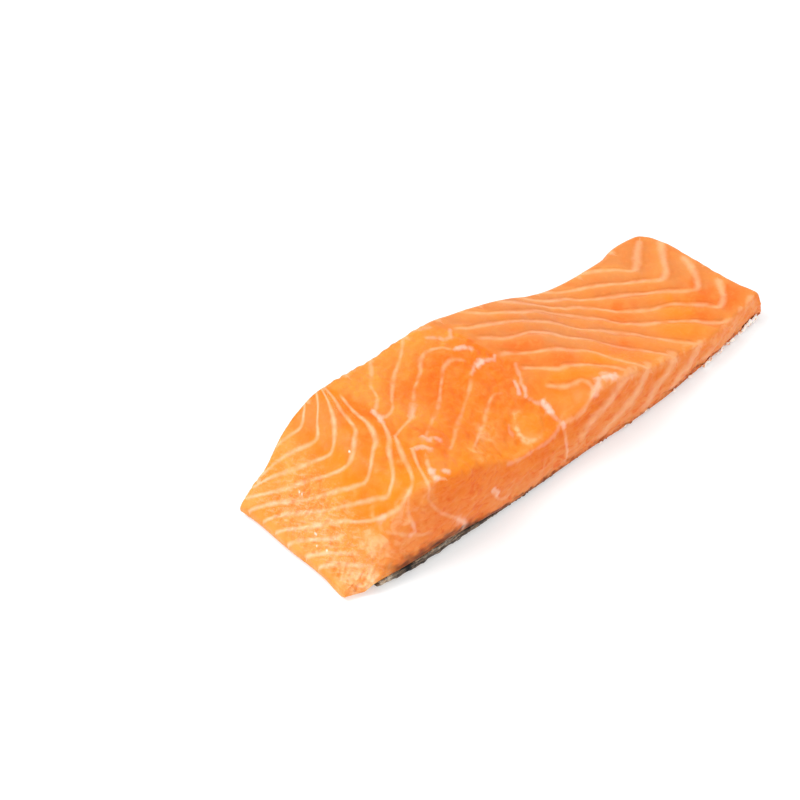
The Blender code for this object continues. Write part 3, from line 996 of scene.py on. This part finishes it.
class Graph:
    """Short calls for building one material's nodes, with the colour so far. Where a call takes
    a value, the name of one of the mesh's surface values stands for it, and so does a soft step
    in brackets, with what span takes."""

    def __init__(self, name):
        self.material = bpy.data.materials.new(name)
        self.material.use_nodes = True
        self.nodes = self.material.node_tree.nodes
        self.links = self.material.node_tree.links
        self.shader = self.nodes["Principled BSDF"]
        self.place = self.node("ShaderNodeTexCoord").outputs["Object"]
        self.colour = None

    def node(self, kind, inputs=None, **settings):
        node = self.nodes.new(kind)
        for name, value in settings.items():
            setattr(node, name, value)
        for name, value in (inputs or {}).items():
            self.feed(node.inputs[name], value)
        return node

    def feed(self, socket, value):
        if isinstance(value, str):
            value = self.node("ShaderNodeAttribute", attribute_name=value).outputs["Fac"]
        elif isinstance(value, tuple) and isinstance(value[0], (str, bpy.types.NodeSocket)):
            value = self.span(*value)
        if isinstance(value, bpy.types.NodeSocket):
            self.links.new(value, socket)
        else:
            socket.default_value = value

    def math(self, operation, a, b=0, clamp=False):
        node = self.node("ShaderNodeMath", {0: a, 1: b}, operation=operation, use_clamp=clamp)
        return node.outputs[0]

    def times(self, *factors):
        """Product of several values, kept between 0 and 1."""
        product = factors[0]
        for factor in factors[1:]:
            product = self.math("MULTIPLY", product, factor, clamp=True)
        return product

    def span(self, value, low, high, to_low=0, to_high=1):
        """Soft step of a value, from to_low at low to to_high at high."""
        inputs = {"Value": value, "From Min": low, "From Max": high,
                  "To Min": to_low, "To Max": to_high}
        return self.node("ShaderNodeMapRange", inputs, interpolation_type="SMOOTHSTEP").outputs[0]

    def noise(self, size, detail=3, stretch=1, turn=0, distortion=0):
        """Noise of about one size in millimetres, drawn out along an axis turned about Z."""
        inputs = {"Vector": self.place, "Rotation": (0, 0, np.radians(turn)),
                  "Scale": [size * metres * s for s in (stretch, 1, 1)]}
        placed = self.node("ShaderNodeMapping", inputs, vector_type="TEXTURE")
        inputs = {"Vector": placed.outputs[0], "Scale": 1, "Detail": detail,
                  "Distortion": distortion}
        return self.node("ShaderNodeTexNoise", inputs).outputs["Fac"]

    def mix(self, amount, a, b):
        inputs = {"Factor": amount, 6: a, 7: b}
        return self.node("ShaderNodeMix", inputs, data_type="RGBA").outputs[2]

    def tint(self, colour, *factors):
        """Mixes another colour into the colour so far, by the product of some values."""
        self.colour = self.mix(self.times(*factors), self.colour, colour)

    def bump(self, height, strength, distance, below=None):
        inputs = {"Height": height, "Strength": strength, "Distance": distance * metres}
        if below is not None:
            inputs["Normal"] = below
        return self.node("ShaderNodeBump", inputs).outputs[0]

    def shade(self, inputs):
        for name, value in inputs.items():
            self.feed(self.shader.inputs[name], value)
        return self.material


def rgb(red, green, blue):
    """Colour socket value from display values of 0 to 255."""
    shares = np.array((red, green, blue)) / 255
    linear = np.where(shares <= 0.04045, shares / 12.92, ((shares + 0.055) / 1.055) ** 2.4)
    return (*linear.tolist(), 1.0)


flesh_orange = rgb(238, 120, 12)
flesh_pink = rgb(218, 134, 67)
flank_deep = rgb(212, 108, 34)
flesh_deep = rgb(234, 106, 8)
flesh_yellow = rgb(242, 134, 2)
flesh_pale = rgb(243, 162, 78)
flesh_cream = rgb(252, 202, 150)
flesh_brown = rgb(160, 68, 24)
cut_orange = rgb(236, 118, 18)
cut_deep = rgb(226, 88, 6)
cut_pink = rgb(234, 142, 78)
septum_colour = rgb(250, 192, 148)
septum_pale = rgb(253, 212, 176)
shred_colour = rgb(252, 208, 190)
glint_colour = rgb(255, 246, 226)
foot_dark = rgb(72, 34, 12)
foot_brown = rgb(176, 88, 46)
skin_slate = rgb(80, 61, 48)
skin_silver = rgb(200, 188, 172)
skin_beige = rgb(176, 144, 110)
skin_black = rgb(10, 7, 5)
torn_white = rgb(252, 242, 234)
torn_pink = rgb(232, 160, 112)
slope_grain_turn = 123


def flesh_ground(g, broad, mottle):
    """Orange to yellow, pinker in the flank and paler down the thick end, with tinted places."""
    pinkish = g.noise(2.8, distortion=1)
    g.colour = g.mix((broad, 0.35, 0.7), flesh_orange, flesh_yellow)
    g.tint(flesh_pink, "flank", (broad, 0.2, 0.65, 1, 0.7))
    g.tint(flesh_pale, "light")
    g.tint(flesh_pink, "hollow", (pinkish, 0.48, 0.62), 0.4)
    g.tint(flesh_deep, "sunk", 0.5)
    g.tint(flesh_pale, "slope", (mottle, 0.3, 0.7, 1, 0.65))
    g.tint(flesh_yellow, "yellow", 0.8)
    g.tint(flesh_deep, "deep", 0.8)


def cut_sides(g, mottle, fibre):
    """Fibrous cut sides, with deeper flecks, pinker lower down and brown at the foot, which is
    partly painted shade.
    """
    flecks = g.noise(1.6, stretch=1.8, distortion=0.8)
    colour = g.mix((mottle, 0.42, 0.66, 0, 0.5), cut_orange, cut_deep)
    colour = g.mix(g.times("down", (flecks, 0.35, 0.6, 1, 0.6)), colour, cut_pink)
    colour = g.mix((fibre, 0.45, 0.68, 0, 0.3), colour, cut_pink)
    colour = g.mix((flecks, 0.52, 0.66, 0, 0.65), colour, cut_deep)
    g.tint(colour, "cut", 0.95)
    # Brown at the foot, partly painted shade, and painted shade along the back edge.
    g.tint(flesh_brown, "foot", (fibre, 0.35, 0.6, 0.3, 0.9))


def layers_and_lumps(g, mottle, patchy, fibre):
    """Mottling; layers that are bright just past a septum and deepen towards the next, partly
    painted light and shade; pale lumps at the corner of the thick end and along the brow, where
    the paleness is partly a painted highlight; and painted shade next to the skin."""
    blotch = g.math("ADD", g.times("sunk", 0.3), ("slope", 0, 1, 0.2, 0.08))
    g.tint(flesh_deep, (mottle, 0.42, 0.68), blotch)
    g.tint(flesh_pale, (patchy, 0.42, 0.75), 0.2)
    # Painted light and shade of the layers, with part of their own colour: paler past a septum, deeper
    # towards the next.
    g.tint(g.mix("cut", flesh_pale, cut_pink), "tone", 1)
    deep = g.mix("cut", g.mix("flank", flesh_deep, flank_deep), cut_orange)
    g.tint(deep, g.math("MULTIPLY", "tone", -1), 0.8)
    # Pale lumps, and the pale brow, which is partly a painted highlight on its rounding.
    lumps = g.math("ADD", g.times("pale", 0.8), "brow", clamp=True)
    cream = g.times("cream", (mottle, 0.38, 0.6, 1, 0.25))
    g.tint(g.mix(cream, flesh_yellow, flesh_cream), lumps, (patchy, 0.3, 0.6, 0.5, 1))
    # Painted shade just above the skin, dark brown, broken up by the fibres.
    g.tint(foot_dark, "stain", (fibre, 0.3, 0.6, 1, 0.7))


def thick_end_grain(g, streaks, fine):
    """Pale and orange streaks and pale specks where the thick end is rough."""
    g.tint(septum_colour, (streaks, 0.5, 0.68), "rough", 0.48)
    g.tint(flesh_orange, (streaks, 0.46, 0.34), "rough", 0.25)
    g.tint(septum_colour, (fine, 0.56, 0.68), "rough", 0.35)


def septa_and_shreds(g, mottle):
    """The septa, with uneven edges and a thin painted shadow line behind those of the flank, and
    the shreds and painted glints over them. Returns how much each place is on a septum."""
    uneven = g.math("MULTIPLY", g.math("SUBTRACT", g.noise(1.5, 2), 0.5), 0.7)
    offset = g.math("ADD", "septum_offset", uneven)
    # Painted shadow: a thin brown line on one side of each flank septum, beside its step.
    facing = g.math("MULTIPLY", offset, ("turned", 0.3, 0.7, 1, -1))
    g.tint(flesh_brown, (facing, 0.7, 1.4), (facing, 2.6, 1.8), "septum_shown", "flank",
           ("turned", 0, 1, 0.42, 0.12), (mottle, 0.38, 0.6, 0.5, 1))
    line = g.times((g.math("ABSOLUTE", offset), 0, 1.6, 1, 0), "septum_shown",
                   (g.noise(1.8, 2), 0.2, 0.5, 0.7, 1))
    g.tint(g.mix("slope", septum_colour, septum_pale), line)
    g.tint(shred_colour, "shreds", 0.9)
    # Painted highlights: glints of wet sparkle.
    g.tint(glint_colour, "glint")
    return line


def flesh_material():
    """Moist, slightly translucent muscle."""
    g = Graph("salmon_flesh")
    mottle, patchy = g.noise(4.5, distortion=0.6), g.noise(2.2, distortion=0.8)
    fine, streaks = g.noise(0.55), g.noise(0.8, stretch=4, turn=slope_grain_turn)
    fibre = g.noise(0.8, 2, stretch=4, distortion=0.8)
    flesh_ground(g, g.noise(13, 2), mottle)
    cut_sides(g, mottle, fibre)
    layers_and_lumps(g, mottle, patchy, fibre)
    thick_end_grain(g, streaks, fine)
    line = septa_and_shreds(g, mottle)
    bump = g.bump(g.noise(0.5, 2), 0.25, 0.12)
    bump = g.bump(g.times(streaks, "rough"), 0.8, 0.5, bump)
    bump = g.bump(g.times(fibre, "cut"), 0.4, 0.3, bump)
    bump = g.bump(line, 0.25, 0.1, bump)
    return g.shade({
        "Base Color": g.colour, "Roughness": (fine, 0.3, 0.7, 0.34, 0.52), "Normal": bump,
        "IOR": 1.36, "Specular IOR Level": 0.32, "Coat Weight": 0.05, "Coat Roughness": 0.28,
        "Subsurface Weight": 0.25, "Subsurface Radius": (1, 0.35, 0.12),
        "Subsurface Scale": 1.6 * metres})


def skin_material():
    """Moist skin: brown-grey at the back with black spots, silver towards the belly, brown at
    its frayed rim, and pink where the knife trimmed it at the thick end."""
    g = Graph("salmon_skin")
    mottle, fine, streaks = g.noise(3.2), g.noise(0.7), g.noise(0.6, stretch=9)
    g.colour = g.mix(g.times((streaks, 0.48, 0.6), 0.8), skin_slate, skin_beige)
    g.tint(skin_black, (streaks, 0.46, 0.36))
    g.tint(skin_black, (fine, 0.56, 0.68), 0.7)
    # Lighter silver-beige patches on the front of the skin: partly the skin's own silver, partly a
    # painted highlight.
    silver_and_highlight_colour = g.mix((fine, 0.4, 0.6), skin_silver, skin_beige)
    g.tint(silver_and_highlight_colour, "worn", (streaks, 0.42, 0.56, 0.45, 1))
    belly = g.math("ADD", "belly", (mottle, 0.3, 0.7, -0.25, 0.25), clamp=True)
    g.tint(skin_silver, belly, ("belly", 0, 0.2))
    g.tint(skin_black, "scale_edge", 0.5)
    g.tint(skin_black, "spot")
    g.tint(g.mix("rim_end", foot_dark, foot_brown), "rim", (mottle, 0.35, 0.55, 0.7, 1))
    g.tint(cut_pink, "trim")
    return g.shade({
        "Base Color": g.colour, "Roughness": (fine, 0.3, 0.7, 0.35, 0.6),
        "Normal": g.bump(fine, 0.6, 0.15), "Specular IOR Level": 0.2, "Coat Weight": 0.03,
        "Coat Roughness": 0.25})


def torn_material():
    """Pale, dry shreds of skin and membrane."""
    g = Graph("torn_skin")
    colour = g.mix((g.noise(1.6, 2), 0.5, 0.65), torn_white, torn_pink)
    return g.shade({"Base Color": colour, "Roughness": 0.5, "Subsurface Weight": 0.15,
                    "Subsurface Scale": 0.6 * metres})


# Pieces.

def placed(name, data):
    """New object of a mesh, lamp or camera, linked into the scene."""
    made = bpy.data.objects.new(name, data)
    bpy.context.collection.objects.link(made)
    return made


def piece(mesh, material):
    """Object of a finished mesh that rides on the frame's one body."""
    mesh.materials.append(material)
    made = placed(mesh.name, mesh)
    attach(made, "root")
    return made


def make_flesh():
    """Flesh with its layers, septa, grain and shreds."""
    mesh, points = lofted_mesh("flesh_layers", [flesh_ring(s) for s in stations(flesh_stations)])
    normals = normals_of(mesh)
    relief, values = flesh_values(points, normals)
    finish_mesh(mesh, points + normals * relief[:, None], values)
    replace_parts(piece(mesh, flesh_material()), "salmon_flesh")


scale_pitch = 2.6
scale_relief = 0.10
fray_depth = 0.22
lap_roughness = 0.12


def scale_edges(x, y):
    """1 at the edges of the scales, which are rows of overlapping rounds, and 0 within them."""
    row = np.floor(y / scale_pitch * 2)
    u = x / scale_pitch + 0.5 * (row % 2)
    u = u - np.floor(u) - 0.5
    v = y / scale_pitch * 2 - row
    return fall(np.abs(np.hypot(u * 1.6, v - 0.1) - 0.75), 0.05, 0.25)


def make_skin():
    """Scaled skin, its scales pressed into the outer face and its front rim frayed."""
    mesh, points = lofted_mesh("scaled_skin", [skin_ring(s) for s in stations(skin_stations)])
    normals = normals_of(mesh)
    x, y, z = points.T
    edge = scale_edges(x, y)
    outer = smooth(-normals[:, 2] + np.abs(normals[:, 1]), 0.3, 0.8)
    front = smooth(-normals[:, 1], 0.2, 0.5)
    frayed = smooth(x, 44, 66) * front
    relief = frayed * waves(points, (fray_depth, 1.6, 43)) - scale_relief * edge * outer
    relief += (front - frayed) * waves(points * (0.3, 1, 1), (lap_roughness, 1.2, 44))
    dark = ripple(points * (1, 1, 0), 7, 41) + waves(points, (0.4, 3, 42))
    black = bell(x - 18.5, 3) * smooth(z + waves(points, (0.3, 2, 45)), 1.2, 2.4)
    values = {
        "belly": smooth(x, 55, 125) * (1 - front),
        "scale_edge": edge,
        "spot": np.maximum(smooth(dark, 1.25, 1.6) * fall(x, 60, 120), 0.8 * black * front),
        # Lighter patches on the skin's front, partly its silver and partly a painted highlight.
        "worn": (bell(x - 11, 3.2) + 0.9 * bell(x - 31, 7) * smooth(z, 2.2, 3.4)) * front,
        "rim": frayed,
        "rim_end": smooth(x, 76, 100),
        "trim": fall(x - skin_start(y), 0.3, 1.6) * smooth(y, 3, 8),
    }
    finish_mesh(mesh, points + normals * relief[:, None], values)
    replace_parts(piece(mesh, skin_material()), "salmon_skin")


# Torn shreds that stick out at the front foot, each (X, height above the floor, length, width).
torn_places = ((94, 1.2, 1.2, 0.7), (104.5, 1.1, 2.0, 0.9), (113.6, 1.5, 1.8, 0.9),
               (126, 1.4, 1.4, 0.7), (134, 1.3, 1.6, 0.8), (141.3, 1.1, 2.4, 1.5),
               (143.8, 1.3, 2.2, 1.6), (147.8, 1.2, 1.4, 0.9), (150.2, 1.2, 2.4, 1.5),
               (153, 1.4, 1.3, 0.8), (155.6, 1.1, 2.2, 1.3), (159, 1.6, 1.4, 0.9),
               (162.0, 1.5, 3.0, 1.8), (164.6, 1.9, 3.4, 2.4), (167.2, 1.7, 2.8, 2.2))
torn_reach = 0.3
torn_thickness = 0.8
torn_detail = 3
torn_seed = 71


def make_torn_skin():
    """Small crumpled shreds of skin and membrane, joined in one mesh."""
    shape = bmesh.new()
    draw = np.random.default_rng(torn_seed)
    for x, height, long, wide in torn_places:
        start = len(shape.verts)
        bmesh.ops.create_icosphere(shape, subdivisions=torn_detail, radius=1)
        shape.verts.ensure_lookup_table()
        fresh = shape.verts[start:]
        ball = np.array([v.co for v in fresh])
        crumple = 1 + waves(ball, (0.22, 1.6, int(x)), (0.10, 0.8, int(x) + 1))
        ball = ball * crumple[:, None] * (long / 2, torn_thickness / 2, wide / 2)
        lean, swing = draw.uniform(-0.5, 0.5), draw.uniform(-0.3, 0.3)
        turned_x = ball[:, 0] * np.cos(lean) - ball[:, 2] * np.sin(lean)
        turned_z = ball[:, 0] * np.sin(lean) + ball[:, 2] * np.cos(lean)
        out = ball[:, 1] + swing * ball[:, 0]
        centre = (x, float(along(front_foot, x)) - torn_reach, height)
        places = np.column_stack([turned_x, out, turned_z]) + centre
        for vert, place in zip(fresh, (places - middle) * metres):
            vert.co = np.clip(place, cad_low, cad_high)
    mesh = bpy.data.meshes.new("torn_skin")
    shape.to_mesh(mesh)
    shape.free()
    mesh.shade_smooth()
    piece(mesh, torn_material())


# Stage, lights and camera. Sizes and places here are in metres, apart from the aim and the lens.

aim_place = np.array((64.37, 47.52, 0))
view_way = Vector((0.49, 0.5266, -0.6947))
view_distance = 0.7
lens = 106
floor_size = 6.0
floor_drop = 0.0002
floor_grey = rgb(206, 206, 206)
floor_glow = 0.42
surroundings = 0.95
lamp_place = Vector((-0.45, 0.55, 1.0))
lamp_size = 0.7
lamp_power = 8
white = (1, 1, 1, 1)


def make_stage():
    """Plain pale floor that glows a little, so that it stays white up to the horizon."""
    half = floor_size / 2
    mesh = bpy.data.meshes.new("floor")
    corners = [(x, y, -floor_drop) for x, y in ((-half, -half), (half, -half), (half, half),
                                                (-half, half))]
    mesh.from_pydata(corners, [], [(0, 1, 2, 3)])
    mesh.materials.append(Graph("floor").shade({
        "Base Color": floor_grey, "Roughness": 0.9, "Emission Color": white,
        "Emission Strength": floor_glow}))
    placed("floor", mesh)


def make_lights():
    """White surroundings, with one large soft lamp above and behind, to the left."""
    world = bpy.data.worlds.new("studio")
    world.use_nodes = True
    world.node_tree.nodes["Background"].inputs["Color"].default_value = white
    world.node_tree.nodes["Background"].inputs["Strength"].default_value = surroundings
    bpy.context.scene.world = world
    data = bpy.data.lights.new("softbox", "AREA")
    data.shape = "DISK"
    data.size = lamp_size
    data.energy = lamp_power
    lamp = placed("softbox", data)
    lamp.location = lamp_place
    lamp.rotation_euler = (-lamp_place).to_track_quat("-Z", "Y").to_euler()


def make_camera():
    """Camera at the photograph's viewing angle."""
    data = bpy.data.cameras.new("camera")
    data.lens = lens
    data.sensor_width = 36
    data.clip_start = 0.05
    camera = placed("camera", data)
    aim = Vector((aim_place - middle) * metres)
    camera.location = aim - view_distance * view_way.normalized()
    camera.rotation_euler = view_way.to_track_quat("-Z", "Y").to_euler()
    bpy.context.scene.camera = camera
    bpy.context.scene.view_settings.view_transform = "Standard"


make_flesh()
make_skin()
make_torn_skin()
make_stage()
make_lights()
make_camera()
